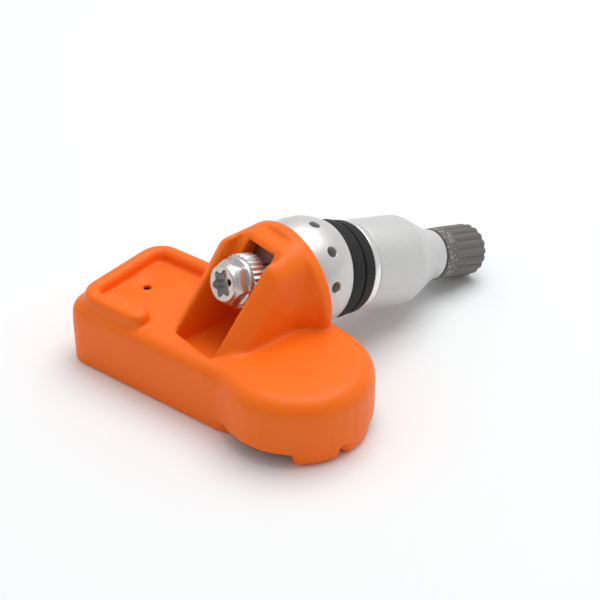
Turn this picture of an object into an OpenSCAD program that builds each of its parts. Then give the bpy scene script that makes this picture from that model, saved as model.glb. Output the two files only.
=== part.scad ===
// Tyre pressure sensor on a clamp-in valve, lying on its moulded housing and its valve cap.
// Millimetres, +Z up. The origin is the rim seat: the centre of the flat face where the rubber
// grommet meets the ball collar. +X runs along the valve towards its cap, +Y to the pad arm.

/* [Valve] */
// Height of the rim seat centre above the floor
seat_h = 15.9; // [15.7:0.1:17]
// How far the valve points down towards its cap, in degrees
valve_tilt = 16; // [15:0.5:17]
// Radius of the ball collar that seats in the housing
ball_r = 10.2; // [9.9:0.1:10.4]
// Distance of the ball centre behind the rim seat
ball_back = 4.4; // [4:0.1:4.8]
// Length of the ball behind its centre, up to the flat rear face
ball_rear = 7.6; // [7:0.1:8.4]
// Radius of the long tube that carries the nut
tube_r = 4; // [3.95:0.01:4.1]
// Radius of the threaded mouth under the cap
mouth_r = 3.85; // [3.8:0.01:3.9]
// Length of the threaded mouth
mouth_l = 8.4; // [7.5:0.1:9]
// Number of air holes round the ball collar
air_holes = 10; // [6:1:12]
// Radius of one air hole
air_hole_r = 1; // [0.8:0.05:1.2]
// Radius of the air way through the valve
airway_r = 1.3; // [1:0.05:1.4]

/* [Grommet and nut] */
// Thickness of the rubber grommet
grommet_t = 6.1; // [5:0.1:7]
// Radius of the grommet at the ball collar
grommet_r = 9; // [8.8:0.1:9.2]
// Radius of the narrower front step of the grommet
grommet_step_r = 8.4; // [8:0.1:8.7]
// Thickness of the bright ring between grommet and nut
ring_t = 1.5; // [1.2:0.1:2]
// Outer radius of the nut and of the bright ring
nut_r = 8.5; // [8:0.1:8.8]
// Length of the full-width part of the nut
nut_barrel_l = 12; // [10:0.5:13]
// Length of the tapered shoulder of the nut
nut_taper_l = 8; // [6:0.5:9]
// Length of the narrow neck of the nut
nut_neck_l = 1.6; // [1:0.1:2]
// Radius of the narrow neck of the nut
nut_neck_r = 4.85; // [4.7:0.05:5]

/* [Cap] */
// Outer radius of the valve cap
cap_r = 5.08; // [5:0.02:5.3]
// Length of the valve cap
cap_l = 11; // [10.5:0.1:11.2]
// Number of fine flutes round the cap
cap_flutes = 18; // [16:1:30]
// Length of the smooth band at the mouth of the cap
cap_band_l = 2.2; // [1.5:0.1:3]
// Thickness of the rubber disc inside the cap
cap_seal_t = 0.8; // [0.6:0.05:1]

/* [Valve core] */
// Radius of the brass core
core_r = 2.3; // [2.1:0.05:2.4]
// Length of the brass core
core_l = 13; // [11:0.5:14]
// Radius of the plunger pin
pin_r = 0.5; // [0.4:0.05:0.6]
// How far the plunger can be pressed
pin_travel = 1.2; // [0.8:0.1:1.4]
// Number of turns of the plunger spring
spring_turns = 6; // [4:1:8]
// Radius of the plunger spring wire
spring_wire_r = 0.16; // [0.12:0.01:0.18]

/* [Screw and washer] */
// Radius of the screw shank
screw_r = 2.2; // [2:0.05:2.4]
// Radius of the round face of the screw head
screw_face_r = 3.3; // [3.2:0.1:3.5]
// Across-corners radius of the six-sided part of the head
screw_hex_r = 4.1; // [3.9:0.1:4.3]
// Height of the screw head
screw_head_l = 3.6; // [3.2:0.1:4]
// Length of the shank below the head
screw_shank_l = 12; // [11:0.5:12.5]
// Radius of the hole through the screw
screw_hole_r = 0.8; // [0.6:0.05:0.9]
// Outer radius of the toothed washer
washer_r = 4.8; // [4.6:0.1:4.9]
// Thickness of the toothed washer
washer_t = 2.1; // [1.8:0.1:2.4]
// Number of teeth round the washer
washer_teeth = 30; // [24:1:36]

/* [Housing] */
// Wall thickness of the moulding
wall = 1.6; // [1.4:0.1:1.8]
// Angle by which the pad arm is swept back, in degrees
arm_sweep = 12.5; // [10:0.5:14]
// Distance from the origin back to the rear wall of the arm
arm_rear = 31.6; // [31:0.1:33]
// Distance from the origin back to the front wall of the arm
arm_front = 5.5; // [5:0.1:7]
// Distance from the origin out to the end wall of the arm
arm_end = 34; // [33:0.5:36]
// Height of the deck of the arm above the floor
arm_h = 12.4; // [12:0.1:12.6]
// Radius of the arm's corners in plan
arm_corner_r = 4.5; // [3.5:0.5:5.5]
// Radius of the rounded upper edge of the arm
arm_edge_r = 2.4; // [1.6:0.1:2.8]
// Radius of the round battery lobe
lobe_r = 13.5; // [13.2:0.1:14]
// Distance from the origin back to the centre of the lobe
lobe_back = 17.8; // [17:0.1:18]
// Distance from the origin sideways to the centre of the lobe
lobe_side = 15.1; // [14.5:0.1:15.5]
// Height of the lobe above the floor
lobe_h = 13; // [12.8:0.1:13.6]
// Radius of the broad rounded upper edge of the lobe
lobe_edge_r = 3.3; // [2.4:0.1:3.4]
// Height of the lobe's underside above the floor, which is the height of the feet
foot_h = 2.8; // [2.2:0.1:3]
// Radius of the flared lip where the valve comes out of the arch
lip_r = 12.1; // [11.8:0.1:12.4]
// Half of the arch's width at its foot
arch_half = 8.8; // [8.4:0.1:9.2]
// Width of the pocket round the screw
pocket_w = 10.4; // [10.2:0.1:10.8]
// Height of the pocket floor above the floor
pocket_z = 9.4; // [9.2:0.1:9.8]
// Thickness of the curved seat between ball and washer
seat_t = 2.2; // [1.8:0.1:2.4]
// Width of the slot in the seat
slot_w = 7; // [6:0.1:7.4]
// Reach of the slot above the valve axis
slot_up = 6; // [5.6:0.1:6.4]
// Reach of the slot below the valve axis
slot_down = 9.6; // [8.5:0.1:10]
// Width of the raised rim at the front and the end of the pad
ridge_w = 3; // [2.6:0.1:3.4]
// Width of the raised rim along the rear of the pad
ridge_rear_w = 4.7; // [4:0.1:5]
// Height of the raised rim over the deck
ridge_h = 2.2; // [1.8:0.1:2.6]
// Radius of the port hole in the pad
port_r = 0.75; // [0.6:0.05:0.9]
// Radius of the shallow dish round the port hole
dish_r = 3.7; // [3.2:0.1:4]

/* [Inside] */
// Thickness of the bottom cover where it closes the lobe
cover_t = 1.4; // [1.2:0.1:1.6]
// Thickness of the circuit board
board_t = 1; // [0.8:0.1:1.2]
// Gap on each side of the coin cell, to the wall of its lobe and to its tab
battery_gap = 0.125; // [0.1:0.025:0.2]
// Thickness of the coin cell
battery_t = 5; // [4.4:0.1:5.2]
// Thickness of the sheet-metal tabs
tab_t = 0.25; // [0.2:0.05:0.3]
// Width of the sheet-metal tabs
tab_w = 3; // [2.5:0.1:3.5]
// Width of the square pressure chip
chip_w = 6; // [5:0.5:7]
// Height of the pressure chip
chip_h = 1.9; // [1.6:0.1:2.1]

/* [Hidden] */
$fn = 64;
// Facet count of pieces inside a hull
hull_fn = 32;
// Overrun of every cut
over = 0.5;
// Gap between the ball and its seat, and between the washer and its seat
seat_gap = 0.05;
// Running clearance of threads, bores and stacked inner pieces
fit_gap = 0.05;
// Gap between nut and cap, which is how far the nut can be backed off
nut_cap_gap = 0.6;

// Places along the valve, counted from the rim seat
ring_u = grommet_t;
nut_u = ring_u + ring_t;
nut_taper_u = nut_u + nut_barrel_l;
nut_neck_u = nut_taper_u + nut_taper_l;
nut_end_u = nut_neck_u + nut_neck_l;
cap_u = nut_end_u + nut_cap_gap;
mouth_u = cap_u + mouth_l;
tube_end_u = nut_neck_u;
core_end_u = mouth_u - core_l;
washer_u = -ball_back - ball_r - seat_gap - seat_t - seat_gap;
head_u = washer_u - washer_t;

// Small sizes of the turned pieces
edge = 0.5;
grommet_step_l = 3.4;
nut_edge = 0.4;
cap_edge = 1.2;
cap_bore_room = 0.3;
cap_bore_l = mouth_l + cap_bore_room;
flute_depth = 0.3;
flute_step = 0.08;
core_flange_r = 1.2;
core_bore_r = 1.5;
core_mouth_r = 0.9;
core_lip_t = 1;
core_seal_t = 0.9;
core_seal_r = 1.9;
airway_step_r = 2.1;
foot_room = 4;
spring_r = 1.2;
spring_sides = 8;
spring_steps = 14;
tooth_h = 0.35;
socket_depth = 2;
socket_r = 2.3;
socket_notch_r = 0.52;
socket_lobes = 6;
hex_l = 1.5;
flange_l = 0.7;
flange_r = 4.3;

// Heights inside the housing, above the floor
cover_top = foot_h + cover_t;
standoff_h = 0.5;
standoff_r = 1.2;
board_z = cover_top + standoff_h;
board_top = board_z + board_t;
deck_ceiling = arm_h - wall;
lobe_ceiling = lobe_h - wall;
passage_top = pocket_z - wall;
battery_z = cover_top + tab_t;
battery_edge = 0.6;
cover_gap = 0.1;
pocket_wall = 1.2;
pocket_side = pocket_w / 2 + pocket_wall;
tab_turn_gap = 0.1;
tab_side = pocket_side + battery_gap + tab_t + tab_turn_gap;
battery_r = (lobe_side + lobe_r - wall - battery_gap - tab_side) / 2;
battery_side = tab_side + battery_r;

// Places in plan, in the swept frame of the arm: first backwards, then outwards
arm_root = -7.6;
arm_root_r = 6;
cavity_root = 9.5;
pad_port = [-18.5, 25];
coil_place = [-12.6, 17];
crystal_place = [-25, 15.5];
capacitor_place = [-25.5, 20];
capacitor_pitch = 1.9;
capacitor_count = 4;

// Ball centre over the origin, in the frame of the part
ball_x = -ball_back * cos(valve_tilt);
ball_z = ball_back * sin(valve_tilt);

// Lowest tilt of the valve in its slot below the rest, in degrees
tilt_down = 8;

// Puts a turned piece on the valve axis, at a distance from the rim seat
module on_valve(u = 0, lean = 0)
    translate([ball_x, 0, ball_z])
        rotate([0, 90 + valve_tilt + lean, 0])
            translate([0, 0, ball_back + u])
                children();

// Moves heights counted from the floor into the frame of the part
module on_floor() translate([0, 0, -seat_h]) children();

// Swept frame of the pad arm
module on_arm() rotate([0, 0, arm_sweep]) children();

module tube(r, hole, h)
    difference() {
        cylinder(r = r, h = h);
        translate([0, 0, -over]) cylinder(r = hole, h = h + 2 * over);
    }

// Upright post whose upper edge is rounded
module post(r, h, e)
    rotate_extrude($fn = hull_fn)
        polygon([
            [0, 0], [r, 0],
            for (a = [0 : 360 / hull_fn : 90]) [r - e + e * cos(a), h - e + e * sin(a)],
            [0, h]
        ]);

// Flat disc standing on its edge across X, with both rims rounded
module disc(r, t, e)
    rotate([0, 90, 0])
        translate([0, 0, -t / 2])
            rotate_extrude($fn = 2 * hull_fn) {
                square([r - e, t]);
                translate([0, e]) square([r, t - 2 * e]);
                for (y = [e, t - e])
                    translate([r - e, y]) circle(e, $fn = hull_fn);
            }

// Outer form of the arm, or its hollow when inset by the wall
module arm_form(inset, top, root, root_r) {
    r = arm_corner_r - inset;
    e = max(arm_edge_r - inset, over / 2);
    hull() {
        for (n = [-arm_rear + arm_corner_r, -arm_front - arm_corner_r])
            translate([n, arm_end - arm_corner_r, 0]) post(r, top, e);
        for (n = [-arm_rear + inset + root_r, -arm_front - inset - root_r])
            translate([n, root + root_r, 0]) post(root_r, top, e);
    }
}

// Outer form of the lobe, or its hollow when inset by the wall
module lobe_form(inset, top) {
    e = min(max(lobe_edge_r - inset, over / 2), top / 2);
    front_r = lobe_r * lobe_front_share;
    hull() {
        translate([-lobe_back, -lobe_side, 0]) post(lobe_r - inset, top, e);
        translate([-lobe_back * lobe_front_back_share, -lobe_side * lobe_front_side_share, 0])
            post(front_r - inset, top, e);
    }
}
lobe_front_share = 0.5;
lobe_front_back_share = 0.62;
lobe_front_side_share = 0.66;

// Arch over the ball: two pairs of rounded shoulders over six feet
arch_front = 6.6;
arch_shoulder_t = 3;
arch_edge_r = 1.4;
arch_top = 11.4;
arch_front_r = 5;
arch_rear_r = 3.5;
arch_rear_back = 15.4;
arch_rear_drop = 1;
arch_foot_back = 25.8;
arch_tail_back = 28.4;
arch_foot_r = 2.6;
arch_tail_r = 1;
arch_sink = 0.3;
module arch_form()
    hull() {
        for (side = [-1, 1]) {
            translate([-arch_front - arch_shoulder_t / 2, side * (arch_half - edge - arch_front_r),
                    seat_h + arch_top - arch_front_r])
                disc(arch_front_r, arch_shoulder_t, arch_edge_r);
            translate([-arch_rear_back, side * (arch_half - edge - arch_rear_r),
                    seat_h + arch_top - arch_rear_drop - arch_rear_r])
                disc(arch_rear_r, arch_shoulder_t, arch_edge_r);
            translate([-arch_front - arch_foot_r, side * (arch_half - arch_foot_r), foot_h + over])
                post(arch_foot_r, arm_h - foot_h - arch_sink, edge);
            translate([-arch_foot_back + arch_foot_r, side * (arch_half - arch_foot_r), foot_h + over])
                post(arch_foot_r, arm_h - foot_h - arch_sink, edge);
            translate([-arch_tail_back + arch_tail_r, side * (pocket_w / 2 + edge - arch_tail_r),
                    foot_h + over])
                post(arch_tail_r, arm_h - foot_h - arch_sink, edge);
        }
    }

// Flared lip of the arch: a turned form round the level line through the rim seat
lip_flare_l = 8;
lip_flare_r = 6.5;
lip_edge = 0.6;
module lip_form()
    translate([-arch_front, 0, seat_h])
        rotate([0, -90, 0])
            rotate_extrude()
                difference() {
                    polygon([
                        [0, 0], [lip_r - lip_edge, 0], [lip_r, lip_edge],
                        [lip_r, lip_flare_l], [0, lip_flare_l]
                    ]);
                    translate([arch_half + lip_flare_r, lip_flare_l]) circle(lip_flare_r);
                }

// Waist between the rear wall of the arm and the lobe, filled to a hollow curve
waist_r = 9;
module waist() {
    lobe_n = -lobe_back * cos(arm_sweep) - lobe_side * sin(arm_sweep);
    lobe_t = lobe_back * sin(arm_sweep) - lobe_side * cos(arm_sweep);
    centre_n = -arm_rear - waist_r;
    reach = lobe_r + waist_r;
    centre_t = lobe_t + sqrt(reach * reach - (centre_n - lobe_n) * (centre_n - lobe_n));
    share = lobe_r / reach;
    touch_n = lobe_n + share * (centre_n - lobe_n);
    touch_t = lobe_t + share * (centre_t - lobe_t);
    translate([0, 0, foot_h])
        linear_extrude(arm_h - arm_edge_r - foot_h)
            difference() {
                polygon([
                    [-arm_rear, centre_t], [touch_n, touch_t], [touch_n + wall, touch_t],
                    [-arm_rear + wall / 2, centre_t]
                ]);
                translate([centre_n, centre_t]) circle(waist_r);
            }
}

// Raised rim of the pad: a round-topped bar swept along a U, with a wide rear leg
ridge_e = 1.3;
ridge_inset = 2.2;
ridge_rear_inset = 1.2;
ridge_bend_r = 3.2;
ridge_open_t = 18.8;
ridge_root_t = 11;
ridge_sink = 0.6;
module ridge_section(w) {
    h = ridge_h + ridge_sink;
    translate([-w / 2, 0]) square([w, h - ridge_e]);
    translate([ridge_e - w / 2, 0]) square([w - 2 * ridge_e, h]);
    for (side = [-1, 1])
        translate([side * (w / 2 - ridge_e), h - ridge_e]) circle(ridge_e);
}
module ridge_end(w)
    rotate([0, 0, 180])
        rotate_extrude(angle = 180)
            intersection() {
                ridge_section(w);
                square([w, ridge_h + ridge_sink]);
            }
module ridge() {
    rear = -arm_rear + ridge_rear_inset + ridge_w / 2;
    wide = -arm_rear + ridge_rear_inset + ridge_rear_w / 2;
    front = -arm_front - ridge_inset - ridge_w / 2;
    far = arm_end - ridge_inset - ridge_w / 2;
    bend_t = far - ridge_bend_r;
    translate([0, 0, arm_h - ridge_sink]) {
        translate([wide, ridge_open_t, 0]) {
            rotate([90, 0, 180]) linear_extrude(bend_t - ridge_open_t) ridge_section(ridge_rear_w);
            ridge_end(ridge_rear_w);
        }
        translate([front, ridge_root_t, 0])
            rotate([90, 0, 180]) linear_extrude(bend_t - ridge_root_t) ridge_section(ridge_w);
        translate([rear + ridge_bend_r, far, 0])
            rotate([90, 0, 90])
                linear_extrude(front - rear - 2 * ridge_bend_r) ridge_section(ridge_w);
        translate([rear + ridge_bend_r, bend_t, 0])
            rotate([0, 0, 90])
                rotate_extrude(angle = 90) translate([ridge_bend_r, 0]) ridge_section(ridge_w);
        translate([front - ridge_bend_r, bend_t, 0])
            rotate_extrude(angle = 90) translate([ridge_bend_r, 0]) ridge_section(ridge_w);
    }
}

// Two rounded feet that follow the outer end of the lobe
foot_w = 3;
foot_inset = 0.25;
foot_fn = 20;
foot_arcs = [[-127, -100], [-84, -63]];
module feet()
    translate([-lobe_back, -lobe_side, 0])
        for (arc = foot_arcs)
            hull()
                for (a = [arc[0], (arc[0] + arc[1]) / 2, arc[1]])
                    rotate([0, 0, a])
                        translate([lobe_r - foot_inset - foot_w / 2, 0, foot_w / 2]) {
                            sphere(foot_w / 2, $fn = foot_fn);
                            cylinder(r = foot_w / 2, h = foot_h + wall / 2 - foot_w / 2, $fn = foot_fn);
                        }

// Room for the ball, and for the grommet from rest down to the lowest tilt
grommet_room = 0.4;
module ball_room() {
    r = ball_r + seat_gap;
    translate([ball_x, 0, seat_h + ball_z]) sphere(r);
    for (lean = [tilt_down, 0])
        translate([0, 0, seat_h])
            on_valve(-ball_back, lean)
                cylinder(r = grommet_r + grommet_room, h = lip_r + ball_r);
}

// Pocket round the screw head, closed in front by the curved seat
lip_back = 28.2;
module pocket() {
    reach = arm_rear;
    difference() {
        translate([ball_x - reach, -pocket_w / 2, pocket_z]) cube([reach, pocket_w, reach]);
        translate([ball_x, 0, seat_h + ball_z])
            rotate([90, 0, 0])
                cylinder(r = ball_r + seat_gap + seat_t, h = 2 * pocket_w, center = true);
        translate([-lip_back - reach, -reach, 0]) cube([reach, 2 * reach, 2 * reach]);
    }
}

module slot()
    translate([0, 0, seat_h])
        on_valve(-ball_back - ball_r - 2 * seat_t)
            translate([-slot_up, -slot_w / 2, 0])
                cube([slot_up + slot_down, slot_w, 2 * seat_t + ball_r / 2]);

module housing()
    color("orangered")
        on_floor()
            difference() {
                union() {
                    on_arm()
                        difference() {
                            arm_form(0, arm_h, arm_root, arm_root_r);
                            pad_dish();
                        }
                    translate([0, 0, foot_h]) lobe_form(0, lobe_h - foot_h);
                    arch_form();
                    lip_form();
                    on_arm() ridge();
                    on_arm() waist();
                    feet();
                }
                housing_hollow();
                ball_room();
                pocket();
                slot();
                on_arm() pad_hole();
            }

dish_depth = 0.5;
module pad_dish() {
    sphere_r = (dish_r * dish_r + dish_depth * dish_depth) / (2 * dish_depth);
    translate([pad_port[0], pad_port[1], arm_h - dish_depth + sphere_r]) sphere(sphere_r);
}
module pad_hole()
    translate([pad_port[0], pad_port[1], deck_ceiling - over])
        cylinder(r = port_r, h = wall + 2 * over);

// Inner outline of the arm, the lobe and the passage between them, down to the open underside
passage_front = 11.4;
module housing_hollow() {
    translate([0, 0, -over])
        on_arm() passage();
    difference() {
        translate([0, 0, -over])
            on_arm() arm_form(wall, deck_ceiling + over, cavity_root, arm_root_r / 2);
        pocket_guard(2 * pocket_side);
    }
    difference() {
        translate([0, 0, foot_h - over]) lobe_form(wall, lobe_ceiling - foot_h + over);
        pocket_guard(arm_end);
    }
}
module pocket_guard(w)
    translate([-2 * arm_rear, -pocket_side, passage_top])
        cube([2 * arm_rear, w, lobe_h]);
module passage()
    translate([-arm_rear + 2 * wall, -arm_root_r / 2, 0])
        cube([arm_rear - 2 * wall - passage_front, arm_end / 2, passage_top + over]);

module bottom_cover()
    color("saddlebrown")
        on_floor() {
            g = wall + cover_gap;
            on_arm() {
                arm_form(g, cover_top, cavity_root + cover_gap, arm_root_r / 2);
                passage_cover();
                standoffs();
            }
            translate([0, 0, foot_h]) lobe_form(g, cover_t);
        }
module passage_cover() {
    translate([-arm_rear + 2 * wall + cover_gap, -arm_root_r / 2 + cover_gap, foot_h])
        cube([arm_rear - 2 * wall - passage_front - 2 * cover_gap, arm_end / 2, cover_t]);
}
standoff_places = [[-27, 13], [-27, 29], [-12, 29], [-14, 13]];
module standoffs()
    for (place = standoff_places)
        translate([place[0], place[1], 0]) cylinder(r = standoff_r, h = board_z);

board_gap = 0.4;
board_tongue = 4.5;
module circuit_board()
    color("darkgreen")
        on_floor()
            difference() {
                on_arm() {
                    g = wall + board_gap;
                    translate([-arm_rear + g, cavity_root + arm_root_r / 2, board_z])
                        cube([arm_rear - arm_front - 2 * g,
                            arm_end - arm_corner_r - cavity_root - arm_root_r / 2, board_t]);
                    translate([-arm_rear + 2 * wall + board_gap, -board_tongue, board_z])
                        cube([arm_rear - 2 * wall - passage_front - 2 * board_gap,
                            board_tongue + cavity_root + arm_root_r, board_t]);
                }
                translate([-lobe_back, -battery_side, 0])
                    cylinder(r = battery_r + tab_turn_gap + tab_t + board_gap, h = lobe_h);
            }

module battery()
    color("silver")
        on_floor()
            translate([-lobe_back, -battery_side, battery_z])
                rotate_extrude() {
                    square([battery_r - battery_edge, battery_t]);
                    square([battery_r, battery_t - battery_edge]);
                }

// A tab lies on one face of the cell, turns at its edge and stands on the board
tab_reach = 2.2;
module battery_tab(face_z, turn) {
    edge_r = battery_r + tab_turn_gap;
    rotate([0, 0, turn])
        translate([0, -tab_w / 2, 0]) {
            translate([0, 0, face_z]) cube([edge_r + tab_t, tab_w, tab_t]);
            translate([edge_r, 0, min(face_z, board_top)])
                cube([tab_t, tab_w, abs(face_z - board_top) + tab_t]);
            translate([edge_r, 0, board_top]) cube([tab_reach, tab_w, tab_t]);
        }
}
module battery_tab_top()
    color("gainsboro")
        on_floor()
            translate([-lobe_back, -battery_side, 0])
                battery_tab(battery_z + battery_t, tab_top_turn);
module battery_tab_base()
    color("gainsboro")
        on_floor()
            translate([-lobe_back, -battery_side, 0])
                battery_tab(cover_top, tab_base_turn);
tab_top_turn = 92;
tab_base_turn = 118;

module pressure_chip()
    color("dimgray")
        on_floor()
            on_arm()
                translate([pad_port[0], pad_port[1], board_top])
                    difference() {
                        translate([-chip_w / 2, -chip_w / 2, 0]) cube([chip_w, chip_w, chip_h]);
                        translate([0, 0, chip_h / 2]) cylinder(r = port_r, h = chip_h);
                    }

gasket_r = 2;
module port_gasket()
    color("black")
        on_floor()
            on_arm()
                translate([pad_port[0], pad_port[1], board_top + chip_h])
                    tube(gasket_r, port_r, deck_ceiling - board_top - chip_h);

crystal_size = [2.5, 3.2, 0.8];
module crystal()
    color("lightgray")
        on_floor()
            on_arm()
                translate([crystal_place[0], crystal_place[1], board_top]) cube(crystal_size);

// Ferrite bar with end cheeks, wound with fine wire
coil_l = 7.4;
coil_w = 2.6;
cheek_t = 0.8;
winding_r = 1.05;
bar_r = 0.7;
module pickup_core()
    color("darkslategray")
        on_floor()
            on_arm()
                translate([coil_place[0], coil_place[1], board_top]) {
                    for (y = [0, coil_l - cheek_t])
                        translate([-coil_w / 2, y, 0]) cube([coil_w, cheek_t, coil_w]);
                    translate([0, 0, coil_w / 2])
                        rotate([-90, 0, 0]) cylinder(r = bar_r, h = coil_l);
                }
module pickup_winding()
    color("peru")
        on_floor()
            on_arm()
                translate([coil_place[0], coil_place[1] + cheek_t, board_top + coil_w / 2])
                    rotate([-90, 0, 0]) tube(winding_r, bar_r, coil_l - 2 * cheek_t);

// Strip bent into a hairpin beside the rear wall
antenna_h = 2;
antenna_t = 0.4;
antenna_l = 15;
antenna_gap = 2.2;
module radio_antenna()
    color("gold")
        on_floor()
            on_arm()
                translate([-arm_rear + wall + 2 * board_gap, cavity_root + arm_root_r / 2, board_top])
                    difference() {
                        cube([antenna_gap, antenna_l, antenna_h]);
                        translate([antenna_t, antenna_t, -over])
                            cube([antenna_gap - 2 * antenna_t, antenna_l, antenna_h + 2 * over]);
                    }

capacitor_size = [1, 1.6, 0.8];
module chip_capacitors()
    color("tan")
        on_floor()
            on_arm()
                for (i = [0 : capacitor_count - 1])
                    translate([capacitor_place[0] - capacitor_size[0] / 2,
                            capacitor_place[1] + i * capacitor_pitch, board_top])
                        cube(capacitor_size);

// Hollow screw: six-lobed socket in a round face, a six-sided middle and a flange
module retaining_screw()
    color("lightgray")
        on_valve(head_u - screw_head_l)
            difference() {
                union() {
                    rotate_extrude()
                        polygon([
                            [0, 0], [screw_face_r - edge, 0], [screw_face_r, edge],
                            [screw_face_r, screw_head_l], [0, screw_head_l]
                        ]);
                    translate([0, 0, screw_head_l - flange_l - hex_l])
                        cylinder(r = screw_hex_r, h = hex_l, $fn = 6);
                    translate([0, 0, screw_head_l - flange_l]) cylinder(r = flange_r, h = flange_l);
                    translate([0, 0, screw_head_l - over])
                        cylinder(r = screw_r, h = screw_shank_l + over);
                }
                translate([0, 0, -over])
                    cylinder(r = screw_hole_r, h = screw_head_l + screw_shank_l + 2 * over);
                translate([0, 0, -over]) torx_socket();
            }
module torx_socket()
    linear_extrude(socket_depth + over)
        difference() {
            circle(socket_r);
            for (i = [0 : socket_lobes - 1])
                rotate([0, 0, 360 * i / socket_lobes])
                    translate([socket_r, 0]) circle(socket_notch_r, $fn = hull_fn);
        }

// Toothed washer whose front face is hollowed to the curve of the seat
module toothed_washer()
    color("silver")
        on_valve(head_u)
            difference() {
                linear_extrude(washer_t + seat_t)
                    polygon([
                        for (i = [0 : 2 * washer_teeth - 1])
                            let (r = washer_r - (i % 2) * tooth_h, a = 180 * i / washer_teeth)
                            [r * cos(a), r * sin(a)]
                    ]);
                translate([0, 0, -over])
                    cylinder(r = screw_r + fit_gap, h = washer_t + seat_t + 2 * over);
                translate([0, 0, -ball_back - head_u])
                    rotate([90, 0, 0])
                        cylinder(r = ball_r + 2 * seat_gap + seat_t, h = 3 * washer_r, center = true);
            }

// Turned valve: ball collar with air holes, plain tube, threaded mouth, stepped air way
module valve_stem()
    color("silver")
        on_valve()
            difference() {
                union() {
                    intersection() {
                        translate([0, 0, -ball_back]) sphere(ball_r);
                        translate([0, 0, -ball_back - ball_rear])
                            cylinder(r = 2 * ball_r, h = ball_back + ball_rear);
                    }
                    translate([0, 0, -over]) cylinder(r = tube_r, h = tube_end_u + over);
                    cylinder(r = mouth_r, h = mouth_u);
                }
                translate([0, 0, -2 * ball_r]) cylinder(r = airway_r, h = mouth_u + 2 * ball_r);
                translate([0, 0, core_end_u]) cylinder(r = core_r + fit_gap, h = core_l + over);
                translate([0, 0, core_end_u - foot_room])
                    cylinder(r = airway_step_r, h = foot_room + over);
                translate([0, 0, -ball_back - ball_rear - over])
                    cylinder(r = screw_r + fit_gap, h = stem_tap_l + over);
                air_hole_ring();
            }
stem_tap_l = 6;
air_hole_back = 0.7;
air_hole_depth = 4.6;
cross_drill_r = 0.7;
module air_hole_ring()
    translate([0, 0, -ball_back - air_hole_back]) {
        for (i = [0 : air_holes - 1])
            rotate([0, 90, 360 * (i + air_hole_phase_share) / air_holes])
                translate([0, 0, ball_r - air_hole_depth]) cylinder(r = air_hole_r, h = ball_r);
        rotate([0, 90, 360 * air_hole_phase_share / air_holes])
            cylinder(r = cross_drill_r, h = 2 * ball_r - air_hole_depth, center = true);
    }
air_hole_phase_share = 0.22;

module grommet()
    color("black")
        on_valve()
            difference() {
                union() {
                    cylinder(r = grommet_r, h = grommet_step_l);
                    cylinder(r = grommet_step_r, h = grommet_t);
                }
                translate([0, 0, -over]) cylinder(r = tube_r + fit_gap, h = grommet_t + 2 * over);
            }

module nut_ring()
    color("white")
        on_valve(ring_u)
            rotate_extrude()
                polygon([
                    [tube_r + fit_gap, 0], [nut_r - nut_edge, 0], [nut_r, nut_edge],
                    [nut_r, ring_t - nut_edge], [nut_r - nut_edge, ring_t], [tube_r + fit_gap, ring_t]
                ]);

module sleeve_nut()
    color("lightgray")
        on_valve(nut_u)
            difference() {
                rotate_extrude()
                    polygon([
                        [0, 0], [nut_r - nut_edge, 0], [nut_r, nut_edge],
                        [nut_r, nut_barrel_l - nut_edge], [nut_r - nut_edge, nut_barrel_l],
                        [nut_neck_r, nut_barrel_l + nut_taper_l],
                        [nut_neck_r, nut_barrel_l + nut_taper_l + nut_neck_l],
                        [0, nut_barrel_l + nut_taper_l + nut_neck_l]
                    ]);
                translate([0, 0, -over])
                    cylinder(r = tube_r + fit_gap, h = nut_end_u - nut_u + 2 * over);
            }

// Hollow brass core with a lip at each end: the outer one guides the plunger
module core_body()
    color("goldenrod")
        on_valve(core_end_u)
            difference() {
                cylinder(r = core_r, h = core_l - core_lip_t);
                translate([0, 0, core_lip_t])
                    cylinder(r = core_bore_r, h = core_l - 3 * core_lip_t);
                cylinder(r = pin_r + fit_gap, h = core_l);
                translate([0, 0, -over]) cylinder(r = core_mouth_r, h = core_lip_t + 2 * over);
                core_gasket_groove();
            }
core_groove_u = 3;
core_groove_l = 1.6;
core_groove_depth = 0.35;
module core_gasket_groove()
    translate([0, 0, core_groove_u])
        tube(core_r + over, core_r - core_groove_depth, core_groove_l);
module core_gasket()
    color("ivory")
        on_valve(core_end_u + core_groove_u)
            tube(core_r, core_r - core_groove_depth, core_groove_l);

// Plunger: long pin with a spring shoulder under the lip and a foot that holds the seal
core_foot_r = 1.7;
shoulder_gap = 0.4;
shoulder_t = 0.5;
module core_pin()
    color("khaki")
        on_valve(core_end_u - core_seal_t - shoulder_t) {
            cylinder(r = core_foot_r, h = shoulder_t);
            cylinder(r = pin_r, h = core_l + core_seal_t + shoulder_t);
            translate([0, 0, core_seal_t + core_l - 2 * core_lip_t - shoulder_gap])
                cylinder(r = core_flange_r + spring_wire_r, h = shoulder_t);
        }
module core_seal()
    color("black")
        on_valve(core_end_u - core_seal_t) tube(core_seal_r, pin_r, core_seal_t);

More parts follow.
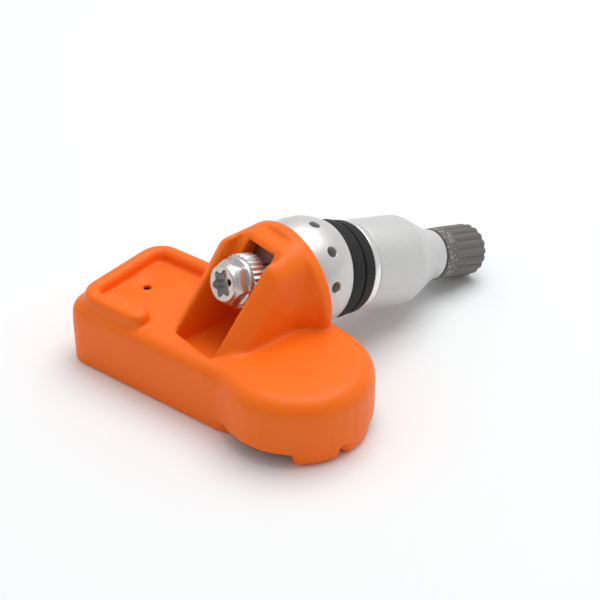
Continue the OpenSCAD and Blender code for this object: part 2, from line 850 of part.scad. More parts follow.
// Plunger spring on the inner lip of the core, at the length it has when the plunger is pressed
spring_l = core_l - 3 * core_lip_t - shoulder_gap - shoulder_t - pin_travel - fit_gap;
module core_spring()
    color("gray")
        on_valve(core_end_u + core_lip_t) helix(spring_r, spring_wire_r, spring_l, spring_turns);
module helix(r, wire, l, turns) {
    rings = turns * spring_steps;
    sides = spring_sides;
    rise = (l - 2 * wire) / rings;
    points = [
        for (i = [0 : rings], k = [0 : sides - 1])
            let (a = 360 * i / spring_steps, b = 360 * k / sides, d = r + wire * cos(b))
            [d * cos(a), d * sin(a), wire + i * rise + wire * sin(b)]
    ];
    skin = [
        for (i = [0 : rings - 1], k = [0 : sides - 1])
            let (n = (k + 1) % sides)
            [i * sides + k, i * sides + n, (i + 1) * sides + n, (i + 1) * sides + k]
    ];
    first = [for (k = [sides - 1 : -1 : 0]) k];
    last = [for (k = [0 : sides - 1]) rings * sides + k];
    polyhedron(points, concat(skin, [first], [last]));
}

// Moulded cap: fluted grip over a smooth band, rounded end, bored for the threaded mouth
module valve_cap()
    color("dimgray")
        on_valve(cap_u)
            difference() {
                union() {
                    cylinder(r = cap_r, h = cap_band_l);
                    linear_extrude(cap_l - cap_edge) fluted_outline();
                    rotate_extrude() {
                        end_r = cap_r - flute_step - 2 * flute_depth;
                        square([end_r, cap_l - cap_edge]);
                        square([end_r - cap_edge, cap_l]);
                        translate([end_r - cap_edge, cap_l - cap_edge]) circle(cap_edge);
                    }
                }
                translate([0, 0, -over])
                    cylinder(r = mouth_r + fit_gap, h = cap_bore_l + cap_seal_t + over);
            }
module fluted_outline()
    polygon([
        for (i = [0 : 2 * cap_flutes - 1])
            let (r = cap_r - flute_step - (i % 2) * flute_depth, a = 180 * i / cap_flutes)
            [r * cos(a), r * sin(a)]
    ]);
module cap_seal()
    color("black")
        on_valve(cap_u + cap_bore_l) cylinder(r = mouth_r, h = cap_seal_t);

housing();
bottom_cover();
circuit_board();
battery();
battery_tab_top();
battery_tab_base();
pressure_chip();
port_gasket();
crystal();
pickup_core();
pickup_winding();
radio_antenna();
chip_capacitors();
retaining_screw();
toothed_washer();
valve_stem();
grommet();
nut_ring();
sleeve_nut();
core_body();
core_gasket();
core_pin();
core_spring();
core_seal();
valve_cap();
cap_seal();
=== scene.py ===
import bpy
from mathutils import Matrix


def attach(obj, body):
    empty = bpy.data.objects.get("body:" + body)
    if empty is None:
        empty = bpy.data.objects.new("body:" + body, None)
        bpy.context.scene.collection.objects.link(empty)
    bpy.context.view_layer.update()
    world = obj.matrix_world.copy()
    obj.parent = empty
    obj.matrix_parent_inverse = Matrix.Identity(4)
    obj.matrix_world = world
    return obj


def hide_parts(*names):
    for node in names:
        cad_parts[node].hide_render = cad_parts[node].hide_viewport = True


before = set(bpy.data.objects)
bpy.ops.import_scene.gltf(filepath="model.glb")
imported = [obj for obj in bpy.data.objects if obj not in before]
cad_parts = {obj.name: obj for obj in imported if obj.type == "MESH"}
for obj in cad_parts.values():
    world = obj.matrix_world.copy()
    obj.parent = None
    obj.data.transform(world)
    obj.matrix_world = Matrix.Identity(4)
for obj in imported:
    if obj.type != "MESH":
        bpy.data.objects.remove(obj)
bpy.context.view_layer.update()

# The sensor lies on a white sheet under one large soft lamp, with the sky of a light tent
# round it. The camera looks down past the battery lobe and along the valve.
import math

import bmesh
import bpy
import numpy as np
from mathutils import Matrix, Vector

MM = 0.001
SEAT_HEIGHT = 15.9 * MM
CAMERA_PLACE = (-0.148079, -0.171898, 0.146505)
CAMERA_LOOK = (0.531891, 0.635921, -0.559193)
CAMERA_SIDE = (-0.62, -0.74, 0.26)
LAMP_PLACE, LAMP_WIDTH, LAMP_WATTS = (0.18, 0.05, 0.60), 0.60, 2.7
TENT_BRIGHT, TENT_DIM = 0.66, 0.38
SHEET_REACH = 3

scene = bpy.context.scene
scene.view_settings.view_transform = "Standard"

camera = bpy.data.objects.new("camera", bpy.data.cameras.new("camera"))
scene.collection.objects.link(camera)
camera.location = CAMERA_PLACE
camera.rotation_euler = Vector(CAMERA_LOOK).to_track_quat("-Z", "Y").to_euler()
camera.data.lens = 90
camera.data.sensor_width = 36
camera.data.clip_start = 0.01
camera.data.clip_end = 20
scene.camera = camera

lamp = bpy.data.objects.new("tent_lamp", bpy.data.lights.new("tent_lamp", "AREA"))
scene.collection.objects.link(lamp)
lamp.location = LAMP_PLACE
lamp.rotation_euler = (-Vector(LAMP_PLACE)).to_track_quat("-Z", "Y").to_euler()
lamp.data.shape = "DISK"
lamp.data.size = LAMP_WIDTH
lamp.data.energy = LAMP_WATTS

# The tent is darker on the camera's side, and a ray from the camera sees it as white.
world = bpy.data.worlds.new("light_tent")
scene.world = world
world.use_nodes = True
tent = world.node_tree.nodes
tent.clear()
tent_out = tent.new("ShaderNodeOutputWorld")
tent_mix = tent.new("ShaderNodeMixShader")
tent_light = tent.new("ShaderNodeBackground")
tent_light.inputs["Color"].default_value = (1, 1, 1, 1)
tent_way = tent.new("ShaderNodeTexCoord")
tent_side = tent.new("ShaderNodeVectorMath")
tent_side.operation = "DOT_PRODUCT"
tent_side.inputs[1].default_value = CAMERA_SIDE
tent_fall = tent.new("ShaderNodeMapRange")
tent_fall.interpolation_type = "SMOOTHSTEP"
tent_fall.inputs["From Min"].default_value = 0.1
tent_fall.inputs["From Max"].default_value = 0.95
tent_fall.inputs["To Min"].default_value = TENT_BRIGHT
tent_fall.inputs["To Max"].default_value = TENT_DIM
tent_seen = tent.new("ShaderNodeBackground")
tent_seen.inputs["Color"].default_value = (1, 1, 1, 1)
tent_seen.inputs["Strength"].default_value = 1.0
tent_rays = tent.new("ShaderNodeLightPath")
tent_sum = tent.new("ShaderNodeMath")
tent_sum.operation = "MAXIMUM"
tent_links = world.node_tree.links
tent_links.new(tent_rays.outputs["Is Camera Ray"], tent_sum.inputs[0])
tent_links.new(tent_rays.outputs["Is Transmission Ray"], tent_sum.inputs[1])
tent_links.new(tent_way.outputs["Generated"], tent_side.inputs[0])
tent_links.new(tent_side.outputs["Value"], tent_fall.inputs["Value"])
tent_links.new(tent_fall.outputs["Result"], tent_light.inputs["Strength"])
tent_links.new(tent_sum.outputs[0], tent_mix.inputs["Fac"])
tent_links.new(tent_light.outputs[0], tent_mix.inputs[1])
tent_links.new(tent_seen.outputs[0], tent_mix.inputs[2])
tent_links.new(tent_mix.outputs[0], tent_out.inputs["Surface"])

sheet_mesh = bpy.data.meshes.new("white_sheet")
sheet_corners = ((-1, -1), (1, -1), (1, 1), (-1, 1))
sheet_mesh.from_pydata(
    [(SHEET_REACH * x, SHEET_REACH * y, -SEAT_HEIGHT) for x, y in sheet_corners], [], [(0, 1, 2, 3)]
)
white_sheet = bpy.data.objects.new("white_sheet", sheet_mesh)
scene.collection.objects.link(white_sheet)
sheet_paper = bpy.data.materials.new("white_paper")
sheet_paper.use_nodes = True
paper = sheet_paper.node_tree.nodes["Principled BSDF"]
paper.inputs["Base Color"].default_value = (0.905, 0.93, 0.935, 1)
paper.inputs["Roughness"].default_value = 0.9
paper.inputs["Specular IOR Level"].default_value = 0.1
sheet_mesh.materials.append(sheet_paper)


# The housing is one injection moulding in orange glass-filled plastic, with soft edges where
# the tool is rounded and a fine satin grain. Lobe, arch, arm and pad rim flow into each other.
def grained(name, light, dark, patch, grain, roughness, bump, metal=0.0, specular=0.5, edge_rub_and_sheen=None):
    """A finish with two tones in patches, uneven gloss, fine grain and lighter convex edges, partly wear
    and partly a painted highlight.
    """
    finish = bpy.data.materials.new(name)
    finish.use_nodes = True
    nodes, links = finish.node_tree.nodes, finish.node_tree.links
    shader = nodes["Principled BSDF"]
    place = nodes.new("ShaderNodeTexCoord")

    def noise(size, detail):
        made = nodes.new("ShaderNodeTexNoise")
        made.inputs["Scale"].default_value = 1 / size
        made.inputs["Detail"].default_value = detail
        links.new(place.outputs["Object"], made.inputs["Vector"])
        return made

    tone = nodes.new("ShaderNodeMix")
    tone.data_type = "RGBA"
    tone.inputs["A"].default_value = (*dark, 1)
    tone.inputs["B"].default_value = (*light, 1)
    links.new(noise(patch, 3).outputs["Fac"], tone.inputs["Factor"])
    colour = tone.outputs["Result"]
    # Convex edges are made lighter by pointiness: partly wear, partly a painted highlight where edges
    # catch the light.
    if edge_rub_and_sheen:
        edge = nodes.new("ShaderNodeNewGeometry")
        rub_and_sheen_mask = nodes.new("ShaderNodeMapRange")
        rub_and_sheen_mask.inputs["From Min"].default_value = 0.52
        rub_and_sheen_mask.inputs["From Max"].default_value = 0.62
        rub_and_sheen_mask.inputs["To Max"].default_value = edge_rub_and_sheen[1]
        links.new(edge.outputs["Pointiness"], rub_and_sheen_mask.inputs["Value"])
        rub_and_sheen_colour = nodes.new("ShaderNodeMix")
        rub_and_sheen_colour.data_type = "RGBA"
        rub_and_sheen_colour.inputs["B"].default_value = (*edge_rub_and_sheen[0], 1)
        links.new(colour, rub_and_sheen_colour.inputs["A"])
        links.new(rub_and_sheen_mask.outputs["Result"], rub_and_sheen_colour.inputs["Factor"])
        colour = rub_and_sheen_colour.outputs["Result"]
    links.new(colour, shader.inputs["Base Color"])
    gloss = nodes.new("ShaderNodeMapRange")
    gloss.inputs["To Min"].default_value = roughness - 0.06
    gloss.inputs["To Max"].default_value = roughness + 0.06
    links.new(noise(patch / 3, 2).outputs["Fac"], gloss.inputs["Value"])
    links.new(gloss.outputs["Result"], shader.inputs["Roughness"])
    relief = nodes.new("ShaderNodeBump")
    relief.inputs["Strength"].default_value = bump
    relief.inputs["Distance"].default_value = grain / 4
    links.new(noise(grain, 2).outputs["Fac"], relief.inputs["Height"])
    links.new(relief.outputs["Normal"], shader.inputs["Normal"])
    shader.inputs["Metallic"].default_value = metal
    shader.inputs["Specular IOR Level"].default_value = specular
    return finish


def piece(name, mesh, finish, body, node):
    """Links a mesh in the frame of the part, which rides on a body and stands for a node."""
    thing = bpy.data.objects.new(name, mesh)
    scene.collection.objects.link(thing)
    if finish:
        mesh.materials.clear()
        mesh.materials.append(finish)
    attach(thing, body)
    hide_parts(node)
    return thing


def with_modifiers(thing):
    """The thing's mesh as its modifiers leave it."""
    graph = bpy.context.evaluated_depsgraph_get()
    return bpy.data.meshes.new_from_object(thing.evaluated_get(graph), depsgraph=graph)


# The lighter convex edges of the orange plastic are a painted highlight, where its rounded edges catch the
# lamp.
orange_plastic = grained(
    "orange_plastic", (0.99, 0.178, 0.006), (0.97, 0.158, 0.005), 6 * MM, 0.16 * MM, 0.42, 0.10,
    specular=0.26, edge_rub_and_sheen=((1.0, 0.27, 0.03), 0.5),
)
SKIN_GRID, SKIN_ROUNDS, WAIST_ROUNDS, FLOOR_GAP = 0.27 * MM, 16, 110, 0.02 * MM
moulding = bpy.data.objects.new("moulding_draft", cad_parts["housing"].data.copy())
scene.collection.objects.link(moulding)
grid = moulding.modifiers.new("grid", "REMESH")
grid.mode = "VOXEL"
grid.voxel_size = SKIN_GRID
soften = moulding.modifiers.new("soften", "SMOOTH")
soften.factor = 0.5
soften.iterations = SKIN_ROUNDS
even_mesh = with_modifiers(moulding)
moulding.modifiers.clear()
moulding.data = even_mesh

# The waist between lobe and deck, and the rear corner of the pad end, are broad soft rounds.
# Each stretch is a line in millimetres, and how near it is fully soft and how far it still is.
SOFT_STRETCHES = (
    ((-30.8, -10.4, -4.6), (-28.6, -7.6, -3.6), 2.6, 6.0),
    ((-37.4, 25.6, -4.4), (-35.2, 18.0, -4.4), 1.8, 4.2),
    ((-37.4, 25.6, -4.4), (-31.0, 27.2, -4.4), 1.8, 4.2),
)
# The pocket in the middle and the top of the pad's rim keep their edges.
POCKET_KEPT, POCKET_FADE, RIM_KEPT, RIM_FADE = 5.9, 1.2, -1.9, 0.8
SOFT_LEVELS = 10
spots = np.empty(len(even_mesh.vertices) * 3)
even_mesh.vertices.foreach_get("co", spots)
spots = spots.reshape(-1, 3) / MM
soft = np.zeros(len(spots))
for start, end, near, far in SOFT_STRETCHES:
    start, end = np.array(start), np.array(end)
    along = np.clip(((spots - start) @ (end - start)) / ((end - start) @ (end - start)), 0, 1)
    away = np.linalg.norm(spots - start - along[:, None] * (end - start), axis=1)
    soft = np.maximum(soft, np.clip((far - away) / (far - near), 0, 1))
soft *= np.clip((np.abs(spots[:, 1]) - POCKET_KEPT) / POCKET_FADE, 0, 1)
soft *= np.clip((RIM_KEPT - spots[:, 2]) / RIM_FADE, 0, 1)
waist = moulding.vertex_groups.new(name="waist")
for level in range(1, SOFT_LEVELS + 1):
    picked = np.nonzero(np.round(soft * SOFT_LEVELS) == level)[0].tolist()
    if picked:
        waist.add(picked, level / SOFT_LEVELS, "REPLACE")
blend = moulding.modifiers.new("blend", "SMOOTH")
blend.vertex_group = "waist"
blend.factor = 0.5
blend.iterations = WAIST_ROUNDS
thin = moulding.modifiers.new("thin", "DECIMATE")
thin.ratio = 0.5
moulding_mesh = with_modifiers(moulding)
places = np.empty(len(moulding_mesh.vertices) * 3)
moulding_mesh.vertices.foreach_get("co", places)
places[2::3] = np.maximum(places[2::3], FLOOR_GAP - SEAT_HEIGHT)
moulding_mesh.vertices.foreach_set("co", places)
bpy.data.objects.remove(moulding)
moulding_mesh.name = "moulding"
moulding_mesh.shade_smooth()
piece("orange_moulding", moulding_mesh, orange_plastic, "sensor_body", "housing")


# The bottom cover is a dark plastic plate welded into the open underside, so the board and
# the cell stay dry. Only its flat face shows, when the sensor is turned over.
def dress(node, finish):
    """Gives a node's own mesh a finish."""
    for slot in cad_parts[node].material_slots:
        slot.material = finish


dress("bottom_cover", grained(
    "cover_plastic", (0.060, 0.040, 0.032), (0.040, 0.027, 0.022), 4 * MM, 0.2 * MM, 0.5, 0.12,
    specular=0.4,
))


# The electronics sit on a green board on four posts: a coin cell with two welded tabs, a
# pressure chip under its gasket, a crystal, a wound pickup coil, capacitors and an antenna.
dress("circuit_board", grained(
    "board_laminate", (0.035, 0.190, 0.075), (0.022, 0.130, 0.050), 1.2 * MM, 0.1 * MM, 0.35, 0.1))
dress("battery", grained(
    "cell_steel", (0.72, 0.72, 0.70), (0.62, 0.62, 0.60), 3 * MM, 0.12 * MM, 0.28, 0.05, metal=1.0))
tab_steel = grained(
    "tab_steel", (0.70, 0.69, 0.66), (0.58, 0.57, 0.55), 1.5 * MM, 0.08 * MM, 0.30, 0.06, metal=1.0)
dress("battery_tab_top", tab_steel)
dress("battery_tab_base", tab_steel)
dress("pressure_chip", grained(
    "chip_plastic", (0.022, 0.022, 0.024), (0.014, 0.014, 0.015), 0.8 * MM, 0.06 * MM, 0.6, 0.15))
soft_rubber = grained(
    "soft_rubber", (0.020, 0.020, 0.021), (0.012, 0.012, 0.012), 1.0 * MM, 0.08 * MM, 0.7, 0.2)
dress("port_gasket", soft_rubber)
dress("crystal", grained(
    "crystal_metal", (0.76, 0.70, 0.55), (0.66, 0.60, 0.48), 0.8 * MM, 0.05 * MM, 0.25, 0.05, metal=1.0))
dress("pickup_core", grained(
    "ferrite", (0.050, 0.050, 0.055), (0.030, 0.030, 0.034), 0.6 * MM, 0.05 * MM, 0.5, 0.2))
dress("pickup_winding", grained(
    "copper_wire", (0.72, 0.29, 0.12), (0.50, 0.17, 0.07), 0.5 * MM, 0.09 * MM, 0.30, 0.4, metal=1.0))
dress("radio_antenna", grained(
    "antenna_brass", (0.80, 0.62, 0.28), (0.66, 0.50, 0.22), 1.0 * MM, 0.06 * MM, 0.3, 0.06, metal=1.0))
dress("chip_capacitors", grained(
    "capacitor_ceramic", (0.36, 0.24, 0.14), (0.26, 0.17, 0.10), 0.4 * MM, 0.04 * MM, 0.45, 0.1))


# The valve is turned from aluminium bar and matte anodised. Its ball collar has a ring of
# air holes; the long tube is threaded for the nut, and the mouth for the cap.
# Lengths along the valve are in millimetres from the front face of its collar.
BALL_BACK, BALL_R, BALL_REAR = 4.4, 10.2, 7.6
TUBE_R, MOUTH_R, TUBE_END, MOUTH_END = 4.0, 3.85, 27.6, 38.2
TUBE_PITCH, MOUTH_PITCH, THREAD_DEPTH = 0.8, 0.79375, 0.35
AIRWAY_R, STEM_TAP_R, CORE_ROOM_R, FOOT_ROOM_R = 1.3, 2.25, 2.35, 2.1
STEM_TAP_END, CORE_END, FOOT_ROOM_END = -6.0, 25.2, 21.2
VALVE_TILT = math.radians(16)
BALL_CENTRE = Vector((-BALL_BACK * math.cos(VALVE_TILT), 0, BALL_BACK * math.sin(VALVE_TILT)))
ON_VALVE = (
    Matrix.Scale(MM, 4)
    @ Matrix.Translation(BALL_CENTRE)
    @ Matrix.Rotation(math.pi / 2 + VALVE_TILT, 4, "Y")
    @ Matrix.Translation((0, 0, BALL_BACK))
)


def rounded(outline, radius, steps=4):
    """The outline with each corner of more than 20 degrees cut to an arc."""
    out = []
    last = len(outline) - 1
    for i, here in enumerate(outline):
        here = np.array(here[:2], float)
        size = outline[i][2] if len(outline[i]) > 2 else radius
        if i in (0, last) or size == 0:
            out.append(tuple(here))
            continue
        before = np.array(outline[i - 1][:2], float) - here
        after = np.array(outline[i + 1][:2], float) - here
        long_b, long_a = np.linalg.norm(before), np.linalg.norm(after)
        before, after = before / long_b, after / long_a
        half = math.acos(max(-1, min(1, float(before @ after)))) / 2
        if half > math.radians(80):
            out.append(tuple(here))
            continue
        cut = min(size / math.tan(half), 0.49 * long_b, 0.49 * long_a)
        start, end = here + before * cut, here + after * cut
        for k in range(steps + 1):
            t = k / steps
            out.append(tuple((1 - t) ** 2 * start + 2 * t * (1 - t) * here + t * t * end))
    return out


def turned(name, outline, around=96, shape=None):
    """A closed outline of (place along the valve, radius) spun round the valve axis."""
    rows = []
    for u, r in outline:
        row = []
        for k in range(around):
            a = 2 * math.pi * k / around
            s = shape(u, r, a) if shape else r
            row.append((s * math.cos(a), s * math.sin(a), u))
        rows.append(row)
    points = [ON_VALVE @ Vector(p) for row in rows for p in row]
    faces = []
    count = len(rows)
    for i in range(count):
        j = (i + 1) % count
        for k in range(around):
            n = (k + 1) % around
            faces.append((i * around + k, j * around + k, j * around + n, i * around + n))
    mesh = bpy.data.meshes.new(name)
    mesh.from_pydata(points, [], faces)
    body = bmesh.new()
    body.from_mesh(mesh)
    bmesh.ops.remove_doubles(body, verts=body.verts, dist=1e-6)
    bmesh.ops.recalc_face_normals(body, faces=body.faces)
    body.to_mesh(mesh)
    body.free()
    mesh.shade_smooth()
    mesh.set_sharp_from_angle(angle=math.radians(38))
    return mesh


def thread_rows(start, end, pitch, rows=6):
    """Places along a thread, close enough together to carry its flanks."""
    count = round((end - start) / pitch * rows)
    return [start + (end - start) * k / count for k in range(count + 1)]


def thread_dip(u, a, pitch, depth):
    """Depth of a right-hand thread under its crest."""
    phase = (u / pitch - a / (2 * math.pi)) % 1
    return depth * (1 - abs(2 * phase - 1))


def stem_thread(u, r, a):
    """The nut's thread on the tube and the cap's thread on the mouth."""
    if abs(r - TUBE_R) < 1e-6 and 8.0 < u < TUBE_END - 0.3:
        return r - thread_dip(u, a, TUBE_PITCH, THREAD_DEPTH)
    if abs(r - MOUTH_R) < 1e-6 and TUBE_END + 2.5 < u < MOUTH_END - 0.4:
        return r - thread_dip(u, a, MOUTH_PITCH, THREAD_DEPTH)
    return r


STEM_BACK, BALL_STEPS = -BALL_BACK - BALL_REAR, 32
ball_arc = []
for k in range(BALL_STEPS + 1):
    u = STEM_BACK - STEM_BACK * k / BALL_STEPS
    ball_arc.append((u, math.sqrt(BALL_R ** 2 - (u + BALL_BACK) ** 2)))
stem_outline = (
    [(STEM_TAP_END, AIRWAY_R), (STEM_TAP_END, STEM_TAP_R), (STEM_BACK + 0.3, STEM_TAP_R), (STEM_BACK, 2.5)]
    + [(STEM_BACK, ball_arc[0][1] - 0.15)] + ball_arc[1:-1]
    + [(-0.12, ball_arc[-1][1] - 0.02), (0, ball_arc[-1][1] - 0.16), (0, TUBE_R)]
    + [(u, TUBE_R) for u in thread_rows(0.5, TUBE_END - 0.2, TUBE_PITCH)]
    + [(TUBE_END, MOUTH_R)]
    + [(u, MOUTH_R) for u in thread_rows(TUBE_END + 0.1, MOUTH_END - 0.35, MOUTH_PITCH)]
    + [(MOUTH_END, MOUTH_R - 0.4), (MOUTH_END, 2.6), (MOUTH_END - 0.25, CORE_ROOM_R)]
    + [(CORE_END, CORE_ROOM_R), (CORE_END, FOOT_ROOM_R), (FOOT_ROOM_END, FOOT_ROOM_R)]
    + [(FOOT_ROOM_END, AIRWAY_R)]
)
stem_mesh = turned("stem_draft", stem_outline, 120, stem_thread)
stem_draft = bpy.data.objects.new("stem_draft", stem_mesh)
scene.collection.objects.link(stem_draft)

AIR_HOLES, AIR_HOLE_R, AIR_HOLE_BACK, AIR_HOLE_DEPTH, AIR_PHASE = 10, 1.0, 0.7, 4.6, 0.22
DRILL_SIDES = 32
drills = bmesh.new()
for i in range(AIR_HOLES):
    spin = Matrix.Rotation(2 * math.pi * (i + AIR_PHASE) / AIR_HOLES, 4, "Z")
    outward = spin @ Matrix.Rotation(math.pi / 2, 4, "Y")
    at = ON_VALVE @ Matrix.Translation((0, 0, -BALL_BACK - AIR_HOLE_BACK)) @ outward
    rim = BALL_R - 0.02
    sections = [
        (BALL_R - AIR_HOLE_DEPTH, AIR_HOLE_R), (rim - 0.16, AIR_HOLE_R), (rim + 0.3, AIR_HOLE_R + 0.42)
    ]
    rings = [
        [drills.verts.new(at @ Vector((r * math.cos(a), r * math.sin(a), h)))
         for a in (2 * math.pi * k / DRILL_SIDES for k in range(DRILL_SIDES))]
        for h, r in sections
    ]
    for low, high in zip(rings, rings[1:]):
        for k in range(DRILL_SIDES):
            n = (k + 1) % DRILL_SIDES
            drills.faces.new((low[k], low[n], high[n], high[k]))
    drills.faces.new(list(reversed(rings[0])))
    drills.faces.new(rings[-1])
bmesh.ops.recalc_face_normals(drills, faces=drills.faces)
drill_mesh = bpy.data.meshes.new("air_hole_drills")
drills.to_mesh(drill_mesh)
drills.free()
drill_set = bpy.data.objects.new("air_hole_drills", drill_mesh)
scene.collection.objects.link(drill_set)
drilling = stem_draft.modifiers.new("drilling", "BOOLEAN")
drilling.operation = "DIFFERENCE"
drilling.solver = "EXACT"
drilling.object = drill_set
stem_cut = with_modifiers(stem_draft)
stem_cut.name = "turned_valve"
stem_cut.shade_smooth()
stem_cut.set_sharp_from_angle(angle=math.radians(32))
bpy.data.objects.remove(stem_draft)
bpy.data.objects.remove(drill_set)
stem_aluminium = grained(
    "stem_aluminium", (0.72, 0.71, 0.70), (0.63, 0.62, 0.615), 1.6 * MM, 0.09 * MM, 0.42, 0.22,
    metal=0.55, specular=0.5, edge_rub_and_sheen=((0.92, 0.92, 0.91), 0.5),
)
piece("turned_valve", stem_cut, stem_aluminium, "valve_unit", "valve_stem")


# The grommet is black moulded rubber with a wide flange at the collar and a narrower step
# that enters the rim hole. A fine groove parts the two.
GROMMET_BACK, GROMMET_FRONT, GROMMET_R, GROOVE_R, STEP_R, BORE_R = 0.05, 6.05, 9.0, 8.35, 8.75, 4.05
grommet_outline = rounded(
    [(GROMMET_BACK, BORE_R), (GROMMET_BACK, GROMMET_R), (2.9, GROMMET_R, 0.5), (3.3, GROOVE_R, 0.15)]
    + [(3.55, GROOVE_R, 0.15), (3.75, STEP_R, 0.25), (5.6, STEP_R - 0.13, 0.3)]
    + [(GROMMET_FRONT, STEP_R - 0.65, 0.2), (GROMMET_FRONT, BORE_R)],
    0.3,
)
grommet_rubber = grained(
    "grommet_rubber", (0.022, 0.022, 0.022), (0.012, 0.012, 0.012), 1.4 * MM, 0.12 * MM, 0.62, 0.25,
    specular=0.28,
)
piece("rubber_grommet", turned("rubber_grommet", grommet_outline), grommet_rubber,
      "valve_unit", "grommet")


# The ring between grommet and nut is turned from bright aluminium and slides on the tube,
# so the nut can turn without dragging the rubber round.
RING_BACK, RING_FRONT, RING_R = 6.1, 7.58, 8.5
ring_outline = rounded(
    [(RING_BACK, BORE_R), (RING_BACK, RING_R), (RING_FRONT, RING_R), (RING_FRONT, BORE_R)], 0.22)
ring_aluminium = grained(
    "ring_aluminium", (0.90, 0.90, 0.89), (0.80, 0.80, 0.79), 0.8 * MM, 0.07 * MM, 0.26, 0.15, metal=0.9)
piece("bright_ring", turned("bright_ring", ring_outline), ring_aluminium,
      "ring", "nut_ring")


# The sleeve nut is a long satin sleeve that narrows in a soft shoulder to its neck. It is
# threaded inside over its full-width part.
NUT_BACK, NUT_FRONT, NUT_R, NUT_NECK_R, BARREL_END, NECK_START = 7.62, 29.2, 8.5, 4.85, 19.4, 27.6
nut_outline = rounded(
    [(NUT_BACK, BORE_R + 0.55), (NUT_BACK, NUT_R), (BARREL_END, NUT_R, 2.6), (26.6, 5.25, 3.2)]
    + [(NECK_START, NUT_NECK_R, 0.6), (NUT_FRONT, NUT_NECK_R, 0.25), (NUT_FRONT, BORE_R + 0.1)]
    + [(NUT_FRONT - 0.3, BORE_R), (NUT_BACK + 0.38, BORE_R)],
    0.28, 8,
)
nut_aluminium = grained(
    "nut_aluminium", (0.70, 0.695, 0.69), (0.62, 0.615, 0.61), 0.9 * MM, 0.10 * MM, 0.46, 0.30,
    metal=0.4, edge_rub_and_sheen=((0.86, 0.86, 0.85), 0.5),
)
piece("tapered_nut", turned("tapered_nut", nut_outline), nut_aluminium, "nut", "sleeve_nut")


# The valve core screws into the mouth: a hollow brass body with a pale sealing ring, and a
# spring-loaded pin whose foot carries a rubber seal.
core_brass = grained(
    "core_brass", (0.78, 0.58, 0.24), (0.64, 0.46, 0.18), 0.8 * MM, 0.06 * MM, 0.30, 0.08, metal=1.0)
dress("core_body", core_brass)
dress("core_pin", grained(
    "pin_brass", (0.82, 0.66, 0.34), (0.70, 0.54, 0.26), 0.6 * MM, 0.05 * MM, 0.26, 0.06, metal=1.0))
dress("core_gasket", grained(
    "pale_gasket", (0.70, 0.67, 0.58), (0.60, 0.57, 0.49), 0.5 * MM, 0.05 * MM, 0.5, 0.1))
dress("core_spring", grained(
    "spring_steel", (0.60, 0.60, 0.59), (0.48, 0.48, 0.47), 0.4 * MM, 0.04 * MM, 0.28, 0.05, metal=1.0))
dress("core_seal", soft_rubber)


# The cap is moulded in dark warm grey plastic: ribs for the fingers, a scuffed plain band at
# its mouth, and a rounded end. A rubber disc inside closes the valve mouth.
CAP_START, CAP_END, CAP_R, CAP_RIBS, CAP_BAND, BAND_R = 29.8, 40.8, 5.08, 18, 2.2, 5.0
CAP_BORE_R, CAP_BORE_L, RIB_DEPTH, RIB_FADE, RIB_L, CAP_ROUND = 3.93, 9.53, 0.34, 0.35, 6.8, 1.2
BAND_END, AXIS_R = CAP_START + CAP_BAND, 0.0001


def cap_ribs(u, r, a):
    """Grooves between the ribs, which fade in past the band and out towards the axis."""
    if u < BAND_END or r < 3.95:
        return r
    blend = min(1, (u - BAND_END) / RIB_FADE)
    return r - blend * RIB_DEPTH * (1 - abs(math.sin(CAP_RIBS * a / 2))) * min(1, r / 4.4)


cap_steps = [BAND_END + RIB_FADE * k / 3 for k in range(4)]
cap_steps += [BAND_END + RIB_FADE + RIB_L * k / 6 for k in range(1, 7)]
cap_round = []
for k in range(9):
    a = math.pi / 2 * k / 8
    cap_round.append(
        (CAP_END - CAP_ROUND + CAP_ROUND * math.sin(a), CAP_R - CAP_ROUND + CAP_ROUND * math.cos(a)))
cap_outline = (
    [(CAP_START, 4.15), (CAP_START, 4.75), (CAP_START + 0.25, BAND_R), (CAP_START + 1.9, BAND_R)]
    + [(u, CAP_R) for u in cap_steps] + cap_round + [(CAP_END, 1.5), (CAP_END, AXIS_R)]
    + [(CAP_START + CAP_BORE_L, AXIS_R), (CAP_START + CAP_BORE_L, CAP_BORE_R)]
    + [(CAP_START + 0.3, CAP_BORE_R)]
)
cap_plastic = grained(
    "cap_plastic", (0.155, 0.148, 0.142), (0.110, 0.105, 0.101), 1.0 * MM, 0.14 * MM, 0.5, 0.3,
    edge_rub_and_sheen=((0.27, 0.26, 0.25), 0.7),
)

# The scuffs are pale specks that the finish shows only on the plain band.
cap_nodes, cap_links = cap_plastic.node_tree.nodes, cap_plastic.node_tree.links
cap_shader = cap_nodes["Principled BSDF"]
cap_place = cap_nodes.new("ShaderNodeTexCoord")
cap_along = cap_nodes.new("ShaderNodeVectorMath")
cap_along.operation = "DOT_PRODUCT"
cap_along.inputs[1].default_value = (math.cos(VALVE_TILT), 0, -math.sin(VALVE_TILT))
cap_band = cap_nodes.new("ShaderNodeMapRange")
cap_band.inputs["From Min"].default_value = (BAND_END + 0.3) * MM
cap_band.inputs["From Max"].default_value = (BAND_END - 0.6) * MM
cap_specks = cap_nodes.new("ShaderNodeTexNoise")
cap_specks.inputs["Scale"].default_value = 1 / (0.45 * MM)
cap_specks.inputs["Detail"].default_value = 4
cap_picked = cap_nodes.new("ShaderNodeMapRange")
cap_picked.inputs["From Min"].default_value = 0.56
cap_picked.inputs["From Max"].default_value = 0.66
cap_share = cap_nodes.new("ShaderNodeMath")
cap_share.operation = "MULTIPLY"
cap_scuffs = cap_nodes.new("ShaderNodeMix")
cap_scuffs.data_type = "RGBA"
cap_scuffs.inputs["B"].default_value = (0.55, 0.54, 0.52, 1)
cap_links.new(cap_place.outputs["Object"], cap_along.inputs[0])
cap_links.new(cap_along.outputs["Value"], cap_band.inputs["Value"])
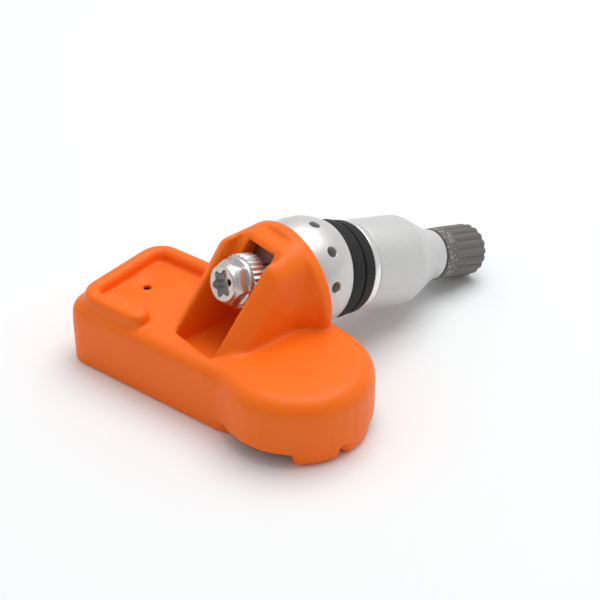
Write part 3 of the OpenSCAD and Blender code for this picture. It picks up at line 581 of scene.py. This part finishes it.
cap_links.new(cap_place.outputs["Object"], cap_specks.inputs["Vector"])
cap_links.new(cap_specks.outputs["Fac"], cap_picked.inputs["Value"])
cap_links.new(cap_band.outputs["Result"], cap_share.inputs[0])
cap_links.new(cap_picked.outputs["Result"], cap_share.inputs[1])
cap_links.new(cap_share.outputs[0], cap_scuffs.inputs["Factor"])
cap_links.new(cap_shader.inputs["Base Color"].links[0].from_socket, cap_scuffs.inputs["A"])
cap_links.new(cap_scuffs.outputs["Result"], cap_shader.inputs["Base Color"])
cap_mesh = turned("ribbed_cap", cap_outline, 216, cap_ribs)
piece("ribbed_cap", cap_mesh, cap_plastic, "cap", "valve_cap")
dress("cap_seal", soft_rubber)


# The screw is bright plated steel: a six-lobed socket in a round face, a six-sided middle
# and a flange, with an air hole right through. The toothed washer under it bites the seat.
HEAD_FACE, HEAD_SEAT, SHANK_END, SOCKET_DEPTH = -22.6, -19.0, -7.0, 2.0
FACE_R, HEX_FLAT, HEX_CORNER_R, FLANGE_R, SHANK_R, SCREW_HOLE_R = 3.3, 3.62, 4.14, 4.3, 2.2, 0.8
SOCKET_R, LOBE_MID_R, LOBE_SWING, SCREW_PITCH, SCREW_THREAD_DEPTH = 2.3, 2.16, 0.34, 0.8, 0.3


def screw_form(u, r, a):
    """Six lobes in the socket, six flats round the head and a thread on the shank."""
    if r == SOCKET_R:
        return LOBE_MID_R + LOBE_SWING * math.cos(6 * a)
    if r == HEX_FLAT:
        corner = (a + math.pi / 6) % (math.pi / 3) - math.pi / 6
        chamfer = FACE_R + 0.04 + 0.72 * (u - HEAD_FACE - 0.55)
        return min(chamfer, HEX_FLAT / math.cos(corner), HEX_CORNER_R)
    if r == SHANK_R and u > HEAD_SEAT + 1.2:
        return r - thread_dip(u, a, SCREW_PITCH, SCREW_THREAD_DEPTH)
    return r


screw_outline = (
    [(HEAD_FACE + SOCKET_DEPTH, SCREW_HOLE_R), (HEAD_FACE + SOCKET_DEPTH, SOCKET_R)]
    + [(HEAD_FACE + 0.12, SOCKET_R), (HEAD_FACE, 2.72)]
    + [(HEAD_FACE, FACE_R - 0.3), (HEAD_FACE + 0.12, FACE_R - 0.1), (HEAD_FACE + 0.35, FACE_R)]
    + [(HEAD_FACE + 0.5 + 0.2 * k, HEX_FLAT) for k in range(12)]
    + [(HEAD_FACE + 2.82, FLANGE_R - 0.1), (HEAD_FACE + 2.95, FLANGE_R), (HEAD_FACE + 3.45, FLANGE_R)]
    + [(HEAD_SEAT, FLANGE_R - 0.15), (HEAD_SEAT, SHANK_R)]
    + [(u, SHANK_R) for u in thread_rows(HEAD_SEAT + 0.3, SHANK_END - 0.2, SCREW_PITCH)]
    + [(SHANK_END, SHANK_R - 0.3), (SHANK_END, SCREW_HOLE_R)]
)
plated_steel = grained(
    "plated_steel", (0.76, 0.75, 0.73), (0.52, 0.51, 0.50), 0.6 * MM, 0.12 * MM, 0.34, 0.35, metal=0.95,
    edge_rub_and_sheen=((0.95, 0.94, 0.92), 0.6),
)
piece("socket_screw", turned("socket_screw", screw_outline, 144, screw_form), plated_steel,
      "screw", "retaining_screw")


def softened(node, width):
    """A node's mesh with its triangles joined into faces and its edges broken."""
    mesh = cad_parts[node].data.copy()
    faces = bmesh.new()
    faces.from_mesh(mesh)
    bmesh.ops.remove_doubles(faces, verts=faces.verts, dist=1e-6)
    bmesh.ops.dissolve_limit(faces, angle_limit=math.radians(1), verts=faces.verts, edges=faces.edges)
    faces.to_mesh(mesh)
    faces.free()
    draft = bpy.data.objects.new("edge_draft", mesh)
    scene.collection.objects.link(draft)
    broken = draft.modifiers.new("broken", "BEVEL")
    broken.width = width
    broken.segments = 2
    broken.angle_limit = math.radians(30)
    done = with_modifiers(draft)
    bpy.data.objects.remove(draft)
    done.shade_smooth()
    done.set_sharp_from_angle(angle=math.radians(50))
    return done


TOOTH_EDGE = 0.10 * MM
washer_steel = grained(
    "washer_steel", (0.76, 0.75, 0.72), (0.52, 0.51, 0.49), 0.5 * MM, 0.10 * MM, 0.34, 0.3, metal=0.95,
    edge_rub_and_sheen=((0.95, 0.94, 0.92), 0.7),
)
piece("tooth_washer", softened("toothed_washer", TOOTH_EDGE), washer_steel,
      "washer", "toothed_washer")
